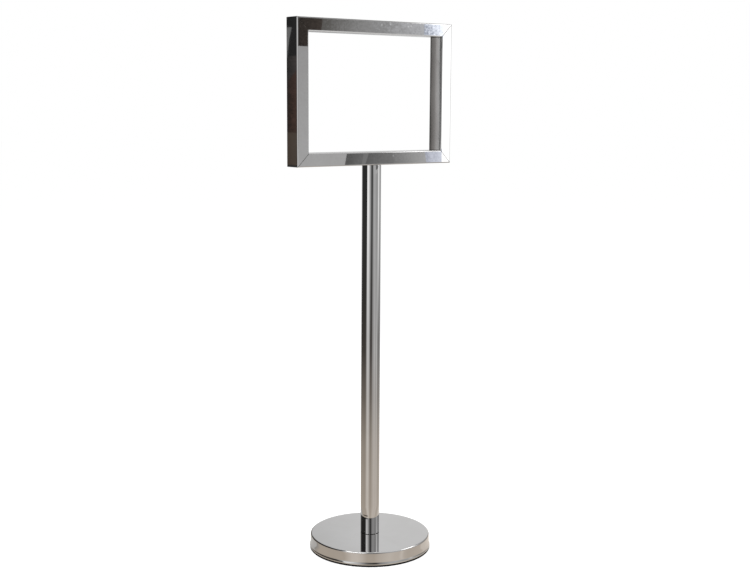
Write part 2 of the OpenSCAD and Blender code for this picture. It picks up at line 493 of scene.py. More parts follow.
def round_corners(bm, corners, radius):
    bmesh.ops.bevel(
        bm, geom=corners, offset=radius, offset_type="OFFSET", affect="VERTICES",
        segments=EDGE_STEPS, profile=0.5, material=-1,
    )


def mitred_tube(length):
    """Hollow rounded tube along X, its outer face on Z = 0, with both ends cut back at 45 degrees."""
    bm = bmesh.new()
    half = length / 2 - mitre_cut
    half_depth = tube_depth / 2
    outline = [(-half_depth, 0), (half_depth, 0), (half_depth, tube_face), (-half_depth, tube_face)]
    corners = [bm.verts.new((-half, y, z)) for y, z in outline]
    bm.faces.new(corners)
    round_corners(bm, corners, tube_edge_r)
    wall = bmesh.ops.inset_region(
        bm, faces=bm.faces[:], thickness=tube_wall, use_boundary=True, use_even_offset=True,
    )["faces"]
    hollow = [face for face in bm.faces if face not in wall]
    bmesh.ops.delete(bm, geom=hollow, context="FACES_ONLY")
    near_end = bm.verts[:]
    drawn = bmesh.ops.extrude_face_region(bm, geom=wall)["geom"]
    far_end = only(bmesh.types.BMVert, drawn)
    bmesh.ops.translate(bm, verts=far_end, vec=(2 * half, 0, 0))
    lean = Matrix.Identity(4)
    for end, direction in ((near_end, 1), (far_end, -1)):
        lean[X][Z] = direction
        bmesh.ops.transform(bm, matrix=lean, verts=end)
    bmesh.ops.recalc_face_normals(bm, faces=bm.faces[:])
    bevel_mitres(bm, set(near_end), set(far_end))
    return bm


def bevel_mitres(bm, near_end, far_end):
    """Breaks the outer edges of both cuts and marks the bevels: the fine seam of each mitre."""
    axis = Vector((0, 0, tube_face / 2))
    rims = []
    for edge in bm.edges:
        at_end = set(edge.verts) <= near_end or set(edge.verts) <= far_end
        walls = [f for f in edge.link_faces if not (set(f.verts) <= near_end or set(f.verts) <= far_end)]
        if not at_end or len(walls) != 1:
            continue
        outwards = walls[0].calc_center_median() - axis
        outwards.x = 0
        if walls[0].normal.dot(outwards) > 0:
            rims.append(edge)
    seam = bm.faces.layers.float.new("seam")
    bevels = bmesh.ops.bevel(
        bm, geom=rims, offset=mitre_bevel, offset_type="OFFSET", affect="EDGES",
        segments=MITRE_STEPS, profile=0.5, material=-1,
    )["faces"]
    for face in bevels:
        face[seam] = 1.0


def frame_tube(node, length, material, turn, place):
    """One side of the sign frame, turned and carried to its place."""
    bm = mitred_tube(length)
    bmesh.ops.transform(bm, matrix=Matrix.Translation(place) @ turn, verts=bm.verts[:])
    make_piece(bm, "polished_" + node, material, "post", node)


def make_sign_frame():
    """Four mitred tubes; each one's outer face is turned to its own side of the frame."""
    def turned(angle):
        return Matrix.Rotation(math.radians(angle), 4, "Y")
    frame_tube("bottom_rail", frame_w, rail_steel, turned(0), (0, 0, rail_low.z))
    frame_tube("top_rail", frame_w, rail_steel, turned(180), (0, 0, top_high.z))
    frame_tube("left_stile", frame_h, stile_steel, turned(90), (left_low.x, 0, frame_mid))
    frame_tube("right_stile", frame_h, stile_steel, turned(-90), (-left_low.x, 0, frame_mid))


def sweep(centre_r, centre_z, radius, start, end):
    """Points (r, z) along an arc of the foot, with its angles in radians from the outward direction."""
    angles = [start + (end - start) * i / SWEEP_STEPS for i in range(SWEEP_STEPS + 1)]
    return [(centre_r + radius * math.cos(a), centre_z + radius * math.sin(a)) for a in angles]


def turned_piece(outline, rounded=()):
    """Spins a closed outline of (r, z) points about the post's axis. rounded pairs the places of points
    in the outline with the radii of their corners."""
    bm = bmesh.new()
    points = [bm.verts.new((r, 0, z)) for r, z in outline]
    bm.faces.new(points)
    for index, radius in rounded:
        round_corners(bm, [points[index]], radius)
    bmesh.ops.delete(bm, geom=bm.faces[:], context="FACES_ONLY")
    spin(bm, bm.verts[:] + bm.edges[:], math.tau, TURN_STEPS, use_merge=True)
    bmesh.ops.remove_doubles(bm, verts=bm.verts[:], dist=MERGE_DIST)
    return bm


def make_post():
    inner_r = post_r - post_wall
    outline = [(inner_r, post_low.z), (post_r, post_low.z), (post_r, post_high.z), (inner_r, post_high.z)]
    bm = turned_piece(outline, [(1, post_bevel), (2, post_bevel)])
    make_piece(bm, "polished_post", post_steel, "post", "post_tube")


def make_base_cover():
    """Pressed drum: flat top, rounded edge, straight skirt and a foot that sweeps out to a short rim."""
    sweep_end = math.acos((foot_sweep_r - foot_flare) / foot_sweep_r)
    sweep_z = cover_low.z + foot_rim_h + foot_sweep_r * math.sin(sweep_end)
    centre_r = skirt_r + foot_sweep_r
    inner_sweep_r = foot_sweep_r + cover_t
    outside = sweep(centre_r, sweep_z, foot_sweep_r, math.pi, math.pi + sweep_end)
    inside = sweep(centre_r, sweep_z, inner_sweep_r, math.pi + sweep_end, math.pi)
    inner_rim_r = centre_r - inner_sweep_r * math.cos(sweep_end)
    outline = [(bolt_hole_r, cover_high.z), (skirt_r, cover_high.z)]
    outline += outside
    outline += [(rim_r, cover_low.z), (inner_rim_r, cover_low.z)]
    outline += inside
    outline += [(skirt_r - cover_t, cover_high.z - cover_t), (bolt_hole_r, cover_high.z - cover_t)]
    bm = turned_piece(outline, [(1, cover_edge_r), (len(outline) - 2, cover_edge_r - cover_t)])
    make_piece(bm, "polished_base_cover", cover_steel, "base", "base_cover")


def make_floor_ring():
    """Rubber band under the cover's rim, with the lip that centres it inside the rim."""
    inner_r = ring_high.x - ring_w
    band_top = cover_low.z
    lip_in = skirt_r - cover_t - weight_gap + lip_gap
    lip_out = rim_r - cover_t - lip_gap
    outline = [
        (inner_r, 0), (ring_high.x, 0), (ring_high.x, band_top), (lip_out, band_top),
        (lip_out, ring_high.z), (lip_in, ring_high.z), (lip_in, band_top), (inner_r, band_top),
    ]
    bm = turned_piece(outline, [(1, ring_bevel)])
    make_piece(bm, "rubber_floor_ring", rubber, "base", "floor_ring")


def make_gasket():
    outline = [
        (bolt_hole_r, gasket_low.z), (gasket_high.x, gasket_low.z),
        (gasket_high.x, gasket_high.z), (bolt_hole_r, gasket_high.z),
    ]
    bm = turned_piece(outline, [(1, gasket_round), (2, gasket_round)])
    make_piece(bm, "rubber_foot_gasket", rubber, "base", "foot_gasket")


def threaded_rod(bm, length):
    """Full-length thread up from z = 0 with a chamfered tip, made by a toothed line that climbs by one
    pitch in its turn."""
    root_r = thread_r - THREAD_DEPTH * thread_pitch
    tooth = [(thread_r, 0), (thread_r, CREST_TO), (root_r, ROOT_FROM), (root_r, ROOT_TO)]
    turns = range(-SPARE_TURNS, math.ceil(length / thread_pitch) + SPARE_TURNS)
    line = [bm.verts.new((r, 0, (turn + share) * thread_pitch)) for turn in turns for r, share in tooth]
    teeth = [bm.edges.new(pair) for pair in zip(line, line[1:])]
    rise = thread_pitch / THREAD_STEPS
    spin(bm, line + teeth, math.tau, THREAD_STEPS, rise, use_merge=False)
    bmesh.ops.remove_doubles(bm, verts=bm.verts[:], dist=MERGE_DIST)
    for end, direction in ((0, -1), (length, 1)):
        bmesh.ops.bisect_plane(
            bm, geom=all_parts(bm), dist=CUT_DIST,
            plane_co=(0, 0, end), plane_no=(0, 0, direction), clear_outer=True,
        )
    for vert in bm.verts:
        widest = TIP_SHARE * root_r + length - vert.co.z
        if vert.co.xy.length > widest:
            vert.co.xy *= widest / vert.co.xy.length
    bmesh.ops.holes_fill(bm, edges=[edge for edge in bm.edges if edge.is_boundary], sides=0)


def hexagon_head(bm, flats_r):
    """Hexagon head down from z = 0, whose outer corners are turned off to a cone."""
    face_r = HEAD_END_SHARE * flats_r
    ring = bmesh.ops.create_circle(
        bm, segments=6, radius=flats_r / math.cos(HEX_HALF_SIDE),
        matrix=Matrix.Rotation(math.pi / 2, 4, "Z"),
    )["verts"]
    sides = edges_at(ring)
    rim = bmesh.ops.subdivide_edges(bm, edges=sides, cuts=HEX_CUTS)["geom_inner"]
    sides = edges_at(only(bmesh.types.BMVert, rim))
    bmesh.ops.edgeloop_fill(bm, edges=sides)
    drawn = bmesh.ops.extrude_edge_only(bm, edges=sides)["geom"]
    for vert in only(bmesh.types.BMVert, drawn):
        vert.co.z = -bolt_head_h + (vert.co.xy.length - face_r) * math.tan(HEAD_CONE)
    drawn = bmesh.ops.extrude_edge_only(bm, edges=only(bmesh.types.BMEdge, drawn))["geom"]
    for vert in only(bmesh.types.BMVert, drawn):
        vert.co.xy *= face_r / vert.co.xy.length
        vert.co.z = -bolt_head_h
    bmesh.ops.edgeloop_fill(bm, edges=only(bmesh.types.BMEdge, drawn))


def make_bolt(node, pointing_up):
    """A bolt with a hexagon head, in the place of its node."""
    low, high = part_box(node)
    bm = bmesh.new()
    threaded_rod(bm, high.z - low.z - bolt_head_h)
    hexagon_head(bm, high.y)
    if pointing_up:
        place = Matrix.Translation((0, 0, low.z + bolt_head_h))
    else:
        place = Matrix.Translation((0, 0, high.z - bolt_head_h)) @ Matrix.Rotation(math.pi, 4, "X")
    bmesh.ops.transform(bm, matrix=place, verts=bm.verts[:])
    make_piece(bm, "threaded_" + node, plated_steel, "post", node)


def pocket_outline(bm):
    """Face between the hub, the outer wall and two ribs, as wide as the pocket's rounded lip."""
    for steps, radius in ((HUB_STEPS, hub_r - cast_round), (POCKET_STEPS, pocket_r + cast_round)):
        bmesh.ops.create_circle(bm, segments=steps, radius=radius)
    bmesh.ops.bridge_loops(bm, edges=bm.edges[:])
    rib_side = rib_t / 2 - cast_round
    for angle, side in ((0, -1), (math.tau / RIB_COUNT, 1)):
        normal = Vector((-math.sin(angle), math.cos(angle), 0)) * side
        bmesh.ops.bisect_plane(
            bm, geom=all_parts(bm), dist=CUT_DIST,
            plane_co=-rib_side * normal, plane_no=normal, clear_outer=True,
        )
    return bmesh.ops.dissolve_faces(bm, faces=bm.faces[:])["region"][0]


def make_pockets():
    """Drafted pockets all round, each one face that is inset and sunk step by step along its wall."""
    bm = bmesh.new()
    face = pocket_outline(bm)
    if face.normal.z > 0:
        face.normal_flip()
    turns = [math.pi / 2 * i / SOFT_STEPS for i in range(SOFT_STEPS + 1)]
    height = pocket_top - weight_low.z
    wall = [(cast_round * math.sin(a), cast_round * (1 - math.cos(a))) for a in turns]
    root = cast_round + pocket_draft
    wall += [
        (root + cast_round * (1 - math.cos(a)), height - cast_round * (1 - math.sin(a))) for a in turns
    ]
    for (inwards, up), (next_inwards, next_up) in zip(wall, wall[1:]):
        bmesh.ops.inset_individual(
            bm, faces=[face], thickness=next_inwards - inwards, depth=up - next_up, use_even_offset=True,
        )
    bmesh.ops.translate(bm, verts=bm.verts[:], vec=(0, 0, weight_low.z))
    copies = RIB_COUNT - 1
    spin(bm, all_parts(bm), math.tau * copies / RIB_COUNT, copies, use_duplicate=True)
    return bm


def make_base_weight():
    """Iron casting: a turned disc with a recess for the bolt, and pockets that leave ribs standing."""
    weight_r = weight_high.x
    outline = [
        (recess_r, weight_low.z), (recess_r, washer_high.z), (bolt_hole_r, washer_high.z),
        (bolt_hole_r, weight_high.z), (weight_r - weight_bevel, weight_high.z),
        (weight_r, weight_high.z - weight_bevel), (weight_r, weight_low.z),
    ]
    bm = turned_piece(outline, [(0, cast_round), (4, cast_round), (5, cast_round), (6, cast_round)])
    lower = [f for f in bm.faces if all(abs(v.co.z - weight_low.z) < MERGE_DIST for v in f.verts)]
    bmesh.ops.delete(bm, geom=lower, context="FACES")
    pockets = make_pockets()
    carrier = bpy.data.meshes.new("pockets")
    pockets.to_mesh(carrier)
    pockets.free()
    bm.from_mesh(carrier)
    bpy.data.meshes.remove(carrier)
    rims = [edge for edge in bm.edges if edge.is_boundary]
    bmesh.ops.triangle_fill(bm, use_beauty=True, edges=rims, normal=(0, 0, -1))
    make_piece(bm, "cast_base_weight", cast_iron, "base", "base_weight")


def softened_piece(node, edge_r, material, body):
    """A hidden piece's own solid with its edges rounded, as a casting's or a deburred part's are."""
    bm = bmesh.new()
    bm.from_mesh(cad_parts[node].data)
    bmesh.ops.remove_doubles(bm, verts=bm.verts[:], dist=MERGE_DIST)
    bmesh.ops.dissolve_limit(bm, angle_limit=FLAT_BELOW, verts=bm.verts[:], edges=bm.edges[:])
    sharp = [edge for edge in bm.edges if edge.calc_face_angle(0) > SMOOTH_BELOW]
    bmesh.ops.bevel(
        bm, geom=sharp, offset=edge_r, offset_type="OFFSET", affect="EDGES",
        segments=SOFT_STEPS, profile=0.5, clamp_overlap=True, material=-1,
    )
    make_piece(bm, "softened_" + node, material, body, node)


def make_hidden_pieces():
    """What the base, the post and the bottom rail hold inside."""
    make_bolt("tie_bolt", pointing_up=True)
    make_bolt("head_bolt", pointing_up=False)
    make_base_weight()
    softened_piece("flat_washer", washer_round, plated_steel, "base")
    softened_piece("spring_washer", spring_round, plated_steel, "post")
    softened_piece("foot_plug", plug_round, mill_steel, "post")
    softened_piece("head_plug", plug_round, mill_steel, "post")
    softened_piece("head_plate", plate_round, mill_steel, "post")


# Studio: floor, soft lamps, and a glowing surround and cards that only the polished faces see, which paint
# their reflections

SURROUND_R = 1.7
WALL_H = 2.1
SURROUND_STEPS = 144
GROUND_LIFT = 0.0005

# Glow levels of the surround, which paint the bright and dark bands in the reflections, by the angle from
# the camera's side, in degrees, positive to the right
LOW_TONES = [
    (-180, 0.87), (-168, 0.87), (-165, 0.015), (-62, 0.015), (-56, 0.28), (-42, 0.8), (-29, 0.86),
    (-18, 0.57), (-6, 0.05), (10, 0.02), (22, 0.36), (35, 0.52), (48, 0.67), (63, 0.5), (72, 0.52),
    (80, 0.88), (87, 0.4), (98, 0.22), (125, 0.28), (150, 0.35), (156, 0.87), (180, 0.87),
]
POST_TONES = [
    (-180, 0.87), (-165, 0.6), (-140, 0.35), (-130, 0.04), (-52, 0.04), (-48, 1.5), (-37, 1.45), (-26, 1.1),
    (-13, 0.58), (0, 0.16), (9, 0.06), (14, 0.08), (22, 0.45), (36, 0.69), (52, 0.6), (68, 0.5),
    (80, 0.55), (92, 1.1), (99, 1.7), (107, 0.8), (117, 0.5), (150, 0.5), (156, 0.87), (180, 0.87),
]
FRAME_TONES = [
    (-180, 0.7), (-140, 0.45), (-125, 0.1), (-80, 0.1), (-70, 0.5), (-42, 0.6), (-34, 0.1), (-8, 0.08),
    (30, 0.12), (46, 0.45), (58, 0.55), (64, 1.0), (96, 1.0), (106, 0.6), (150, 0.6), (180, 0.7),
]
HIGH_TONES = [
    (-180, 0.9), (-140, 0.6), (-120, 0.4), (-55, 0.4), (-51, 8.0), (-12, 7.0), (-5, 0.4), (30, 0.3),
    (40, 0.5), (78, 0.6), (82, 6.0), (122, 6.0), (128, 0.8), (150, 0.8), (180, 0.9),
]
# Colours of the reflected ground: warm, and darker and cooler on one side, a painted shade
SHADED_COOL_GROUND = (0.42, 0.4, 0.375)
WARM_GROUND = (0.66, 0.575, 0.485)
GROUND_TONES = [(-165, SHADED_COOL_GROUND), (-145, WARM_GROUND), (150, WARM_GROUND)]

# Each set of levels takes over from the one before between two distances in metres, which run out
# along the ground and on up the wall
TONE_LEVELS = [
    (LOW_TONES, 0, 0), (POST_TONES, 1.95, 2.45), (FRAME_TONES, 2.68, 2.74), (HIGH_TONES, 3.2, 3.34),
]

# Shares of the ground and of the wall tones, by that distance; the ground's share dips next to the rim, a
# painted contact shadow in its reflection
GROUND_SHARE = [
    (0.163, 0.7), (0.18, 0.95), (0.2, 1.0), (0.38, 0.88), (0.92, 0.71), (1.7, 0.335), (1.9, 0.105),
    (2.1, 0.045), (2.5, 0.0),
]
WALL_SHARE = [(0.2, 0.28), (0.38, 0.36), (0.92, 0.5), (1.7, 0.75), (1.9, 1.0)]
SHARE_END = 2.6

# Close to the base the tones run round faster, as its skirt looks at the ground just in front of it
NEAR_FROM = 0.2
NEAR_TO = 0.36
NEAR_TURN = 2.1


def stage_object(name, bm, material, glossy_only):
    """Turns a finished bmesh into a thing of the studio. If glossy_only, just the polished faces show it."""
    mesh = bpy.data.meshes.new(name)
    bm.to_mesh(mesh)
    bm.free()
    mesh.materials.append(material)
    thing = bpy.data.objects.new(name, mesh)
    scene.collection.objects.link(thing)
    if glossy_only:
        thing.visible_camera = False
        thing.visible_diffuse = False
        thing.visible_transmission = False
        thing.visible_volume_scatter = False
        thing.visible_shadow = False


def glow_tree(name):
    """A material that only glows, and isn't sampled as a lamp."""
    material = bpy.data.materials.new(name)
    material.use_nodes = True
    material.cycles.emission_sampling = "NONE"
    tree = material.node_tree
    tree.nodes.clear()
    glow = add_node(tree, "ShaderNodeEmission")
    result = add_node(tree, "ShaderNodeOutputMaterial")
    link(tree, glow, "Emission", result, "Surface")
    return material, tree, glow


def grey(level):
    return (level, level, level)


def level_ramp(tree, stops, start, end, source, output):
    """A colour ramp over a range of values, whose stops are levels of grey or colours."""
    ramp = add_node(tree, "ShaderNodeValToRGB")
    marks = ramp.color_ramp.elements
    for index, (value, level) in enumerate(stops):
        spot = (value - start) / (end - start)
        mark = marks[index] if index < 2 else marks.new(spot)
        mark.position = spot
        mark.color = (*(level if isinstance(level, tuple) else grey(level)), 1)
    link(tree, source, output, ramp, "Fac")
    return ramp


def vector_math(tree, operation, first, second):
    """Combines the outputs of two nodes, each given with the name of its output."""
    node = add_node(tree, "ShaderNodeVectorMath", {"operation": operation})
    for entry, (source, output) in enumerate((first, second)):
        link(tree, source, output, node, entry)
    return node


def surround_material():
    """Ground and wall in one, whose glow paints the reflections: a warm ground that fades into a ring of
    painted softboxes, flats and drapes.
    """
    material, tree, glow = glow_tree("painted_reflection_surround")
    place = add_node(tree, "ShaderNodeTexCoord")
    level = add_node(tree, "ShaderNodeVectorMath", {"operation": "MULTIPLY", 1: (1, 1, 0)})
    out = add_node(tree, "ShaderNodeVectorMath", {"operation": "LENGTH"})
    height = add_node(tree, "ShaderNodeSeparateXYZ")
    way = add_node(tree, "ShaderNodeMath", {"operation": "ADD"})
    link(tree, place, "Object", level, 0)
    link(tree, level, "Vector", out, 0)
    link(tree, place, "Object", height, "Vector")
    link(tree, out, "Value", way, 0)
    link(tree, height, "Z", way, 1)

    turn = add_node(tree, "ShaderNodeMapping")
    turn.inputs["Rotation"].default_value = (0, 0, math.radians(-CAMERA_SIDE))
    spread = add_node(tree, "ShaderNodeTexGradient", {"gradient_type": "RADIAL"})
    centred = add_node(tree, "ShaderNodeMath", {"operation": "SUBTRACT", 1: 0.5})
    faster = add_node(tree, "ShaderNodeMapRange", {
        "From Min": NEAR_FROM, "From Max": NEAR_TO, "To Min": NEAR_TURN, "To Max": 1.0,
    })
    around = add_node(tree, "ShaderNodeMath", {"operation": "MULTIPLY_ADD", 2: 0.5})
    link(tree, place, "Object", turn, "Vector")
    link(tree, turn, "Vector", spread, "Vector")
    link(tree, spread, "Fac", centred, 0)
    link(tree, way, "Value", faster, "Value")
    link(tree, centred, "Value", around, 0)
    link(tree, faster, "Result", around, 1)

    tone = None
    for tones, start, end in TONE_LEVELS:
        ring = level_ramp(tree, tones, -180, 180, around, "Value")
        if tone is None:
            tone = (ring, "Color")
            continue
        step = add_node(tree, "ShaderNodeMapRange", {"From Min": start, "From Max": end})
        mix = add_node(tree, "ShaderNodeMix", {"data_type": "RGBA"})
        link(tree, way, "Value", step, "Value")
        link(tree, step, "Result", mix, MIX_FACTOR)
        link(tree, *tone, mix, MIX_FIRST)
        link(tree, ring, "Color", mix, MIX_SECOND)
        tone = (mix, MIX_RESULT)

    part = add_node(tree, "ShaderNodeMapRange", {"From Max": SHARE_END})
    link(tree, way, "Value", part, "Value")
    ground = level_ramp(tree, GROUND_TONES, -180, 180, around, "Value")
    ground_share = level_ramp(tree, GROUND_SHARE, 0, SHARE_END, part, "Result")
    wall_share = level_ramp(tree, WALL_SHARE, 0, SHARE_END, part, "Result")
    low = vector_math(tree, "MULTIPLY", (ground, "Color"), (ground_share, "Color"))
    high = vector_math(tree, "MULTIPLY", tone, (wall_share, "Color"))
    both = vector_math(tree, "ADD", (low, "Vector"), (high, "Vector"))
    link(tree, both, "Vector", glow, "Color")
    return material


def spun_sheet(profile, start, turn):
    """Spins an open line of (r, z) points about the post's axis, from an angle and through a turn, both
    in degrees."""
    bm = bmesh.new()
    points = [bm.verts.new((r, 0, z)) for r, z in profile]
    line = [bm.edges.new(pair) for pair in zip(points, points[1:])]
    spin_from = Matrix.Rotation(math.radians(start), 4, "Z")
    bmesh.ops.transform(bm, matrix=spin_from, verts=points)
    spin(bm, points + line, math.radians(turn), SURROUND_STEPS, use_merge=turn == FULL_TURN)
    return bm


def make_surround():
    """Ground and wall all the way round, under the white world; only the polished pieces see them."""
    profile = [(rim_r + GROUND_LIFT, GROUND_LIFT), (SURROUND_R, GROUND_LIFT), (SURROUND_R, WALL_H)]
    sheet = spun_sheet(profile, start=0, turn=FULL_TURN)
    stage_object("painted_reflection_surround", sheet, surround_material(), glossy_only=True)


# Colour of the bright spots on a card: painted glints in the reflections
SPOT = (1.2, 1.22, 1.25)


def card_material(name, start, end, mottle, spots):
    """A card whose glow runs from one colour to another across it, unevenly and with a few bright spots."""
    material, tree, glow = glow_tree(name)
    place = add_node(tree, "ShaderNodeTexCoord")
    across = add_node(tree, "ShaderNodeAttribute", {"attribute_name": "across"})
    drift = add_node(tree, "ShaderNodeTexNoise", {"Scale": 25.0, "Detail": 2.0})
    grain = add_node(tree, "ShaderNodeTexNoise", {"Scale": 170.0, "Detail": 3.0, "Roughness": 0.75})
    strong = add_node(tree, "ShaderNodeMapRange", {"From Min": 0.34, "From Max": 0.66})
    centred = add_node(tree, "ShaderNodeMath", {"operation": "ADD"})
    uneven = add_node(tree, "ShaderNodeMath", {"operation": "MULTIPLY_ADD", 1: mottle, 2: -mottle})
    step = add_node(tree, "ShaderNodeMath", {"operation": "ADD", "use_clamp": True})
    # Painted glints: bright spots in the card's glow, seen as sparkle in the polished faces
    bright = place_group(tree, dust_specks_and_glints, {"Scale": 95.0, "Size": 0.35, "Share": spots})
    for texture in (drift, grain, bright):
        link(tree, place, "Object", texture, "Vector")
    link(tree, drift, "Fac", centred, 0)
    link(tree, grain, "Fac", strong, "Value")
    link(tree, strong, "Result", centred, 1)
    link(tree, centred, "Value", uneven, 0)
    link(tree, uneven, "Value", step, 0)
    link(tree, across, "Fac", step, 1)
    run = blend(tree, step, "Value", (*start, 1), (*end, 1))
    spotted = blend(tree, bright, "Specks", run, (*SPOT, 1))
    link(tree, spotted, MIX_RESULT, glow, "Color")
    return material


def card_face(places):
    """A face whose glow runs from its first corner to its second."""
    bm = bmesh.new()
    across = bm.verts.layers.float.new("across")
    corners = [bm.verts.new(place) for place in places]
    bm.faces.new(corners)
    for corner in corners[1:3]:
        corner[across] = 1.0
    return bm


def plain_card(name, bm, level):
    glow = card_material(name, grey(level), grey(level), mottle=0, spots=0)
    stage_object(name, bm, glow, glossy_only=True)


def mirrored_card(name, patch, axis, face, distance, start, end, mottle=0.8, spots=0.0):
    """A card seen in a flat face of the frame: each corner of the patch on that face is carried on along
    the mirrored line of sight, to a plane at that distance in front of it. axis is the face's normal axis,
    and the patch has the places along the other two. Its glow runs from the first corner to the second."""
    mirrored = camera_place.copy()
    mirrored[axis] = 2 * face - mirrored[axis]
    reach = distance / abs(mirrored[axis] - face)
    corners = [Vector(place[:axis] + (face,) + place[axis:]) for place in patch]
    card = card_face([corner + (corner - mirrored) * reach for corner in corners])
    stage_object(name, card, card_material(name, start, end, mottle, spots), glossy_only=True)


def upright(left, right, low, high, lean=0.0):
    """Patch between two places and two heights, whose ends lean over by that much; its glow runs across."""
    return [(left, low), (right, low), (right + lean, high), (left + lean, high)]


def hanging(left, right, low, high):
    """Patch between two places and two heights, whose glow runs downwards."""
    return [(left, high), (left, low), (right, low), (right, high)]


# Metres from each set of cards to the faces that show it, and from each front or left card to the next
FRONT_CARD_AWAY = 0.25
BACK_CARD_AWAY = 0.3
LEFT_CARD_AWAY = 0.8
INNER_CARD_AWAY = 1.1
LEDGE_CARD_AWAY = 0.04
CARD_STEP = 0.002


def make_front_cards():
    """What the front faces show. A row has a card's name and patch, the two colours that its glow runs
    between, how uneven it is and its share of bright spots. A card hides those after it in the list."""
    # Heights that the patches on the bottom rail and on the top rail lie between
    low_from, low_to = 1.02, 1.0675
    top_from, top_to = 1.355, 1.402
    # Painted reflections of the rails' front faces: each drape, flat or window card is a glowing patch,
    # dark, pale or bright
    front = [
        ("dark_drape", [(-0.25, 1.324), (-0.178, 1.324), (-0.169, top_to), (-0.25, top_to)],
         (0.045, 0.038, 0.034), (0.09, 0.075, 0.065), 0.9, 0),
        ("upper_flat_left", [(-0.177, top_from), (-0.019, top_from), (-0.019, top_to), (-0.168, top_to)],
         (0.17, 0.165, 0.155), grey(0.46), 0.4, 0.04),
        ("upper_flat_right", upright(-0.019, 0.15, top_from, top_to),
         grey(0.42), (0.76, 0.77, 0.8), 0.7, 0.16),
        ("upper_window", upright(0.15, 0.214, top_from, top_to),
         (0.55, 0.6, 0.72), (1.8, 1.9, 2.1), 1.0, 0.3),
        ("lower_flat_left", upright(-0.105, -0.052, low_from, low_to, 0.01),
         grey(0.16), grey(0.25), 0.6, 0),
        ("lower_flat_right", [(-0.044, low_from), (0.057, low_from), (0.047, low_to), (-0.024, low_to)],
         grey(0.19), grey(0.3), 0.5, 0.02),
        ("lower_gap", upright(-0.07, 0.0, low_from, low_to), grey(0.3), grey(0.32), 0.5, 0),
        ("lower_flat_end", [(0.052, low_from), (0.165, low_from), (0.155, low_to), (0.042, low_to)],
         grey(0.31), grey(0.66), 0.25, 0.03),
        ("lower_window", upright(0.15, 0.214, low_from, low_to),
         (0.6, 0.63, 0.74), (1.1, 1.15, 1.3), 0.7, 0.1),
        ("white_window", upright(0.207, 0.26, low_from, top_to), grey(2.0), grey(2.2), 0.8, 0),
    ]
    for depth, (name, patch, *look) in enumerate(front):
        mirrored_card(name, patch, Y, front_y, FRONT_CARD_AWAY + CARD_STEP * depth, *look)
    # Pale painted reflection behind the other front cards
    pale = hanging(-0.26, 0.06, 1.01, 1.33)
    mirrored_card("pale_painted_reflection", pale, Y, front_y, BACK_CARD_AWAY, grey(0.52), grey(0.66), mottle=0.3)


def make_side_cards():
    """What the outer face of the left stile and the inner face of the right one show. A row has a card's
    name and patch, and the two colours that its glow runs between."""
    # Painted reflections in the left stile's outer face: a pale wedge over dark and brown patches
    left = [
        ("pale_wedge", [(0.03, 1.29), (0.02, 1.302), (0.012, 1.34), (0.0, 1.37), (0.03, 1.37)],
         grey(0.22), grey(0.26)),
        ("corner_painted_dark_reflection", upright(0.03, -0.03, 1.3, 1.41), grey(0.025), grey(0.035)),
        ("upper_painted_dark_reflection", [(0.03, 1.235), (-0.03, 1.27), (-0.03, 1.33), (0.03, 1.33)],
         grey(0.028), (0.09, 0.08, 0.076)),
        ("brown_painted_reflection", upright(0.03, -0.03, 1.115, 1.28), (0.022, 0.02, 0.018), (0.105, 0.064, 0.052)),
        ("lower_brown_painted_reflection", [(0.03, 1.035), (-0.03, 1.035), (-0.03, 1.13), (0.03, 1.12)],
         (0.09, 0.068, 0.054), (0.125, 0.1, 0.08)),
    ]
    for depth, (name, patch, start, end) in enumerate(left):
        mirrored_card(name, patch, X, left_low.x, LEFT_CARD_AWAY + CARD_STEP * depth, start, end)
    inner_from, inner_to = 1.05, 1.37
    # Painted reflections in the right stile's inner face: a dark line, then darker and paler bands
    inner = [
        ("inner_dark", upright(0.03, 0.0195, inner_from, inner_to), grey(0.01), grey(0.012)),
        ("inner_back", upright(0.0195, -0.001, inner_from, inner_to),
         (0.22, 0.21, 0.2), (0.36, 0.345, 0.335)),
        ("inner_front", upright(-0.001, -0.0185, inner_from, inner_to), (0.53, 0.51, 0.5), grey(0.66)),
    ]
    for name, patch, start, end in inner:
        mirrored_card(name, patch, X, opening_x, INNER_CARD_AWAY, start, end, mottle=0.2)


def make_ledge_cards():
    """Glowing cards behind the stand, painted reflections that the rails' level faces show at a glancing
    angle.
    """
    under = upright(-0.22, 0.22, -0.022, 0.03)
    ledge = upright(-0.22, 0.22, -0.02, 0.03)
    mirrored_card("under_painted_reflection", under, Z, top_low.z, LEDGE_CARD_AWAY, grey(0.3), grey(0.65), mottle=0.3)
    mirrored_card("ledge_painted_reflection", ledge, Z, rail_high.z, LEDGE_CARD_AWAY, grey(0.5), grey(0.75), mottle=0.3)


# Glowing sheets close to single edges of the stand, which paint the bright or dark reflected line along
# each; metres, degrees
EDGE_SHEET_R = 0.012
EDGE_SHEET_FROM = -80
EDGE_SHEET_TURN = 120
STRIP_AWAY = 0.004
STRIP_BEFORE = 0.007
STRIP_BEHIND = 0.001
STRIP_MOTTLE = 0.4
RIM_STRIP_BEFORE = 0.005
RIM_STRIP_BEHIND = 0.002


def edge_sheet(name, x, low, high, level):
    """An upright sheet bent round a front edge of a stile."""
    profile = [(EDGE_SHEET_R, low), (EDGE_SHEET_R, high)]
    sheet = spun_sheet(profile, CAMERA_SIDE + EDGE_SHEET_FROM, EDGE_SHEET_TURN)
    bmesh.ops.translate(sheet, verts=sheet.verts[:], vec=(x, front_y, 0))
    plain_card(name, sheet, level)


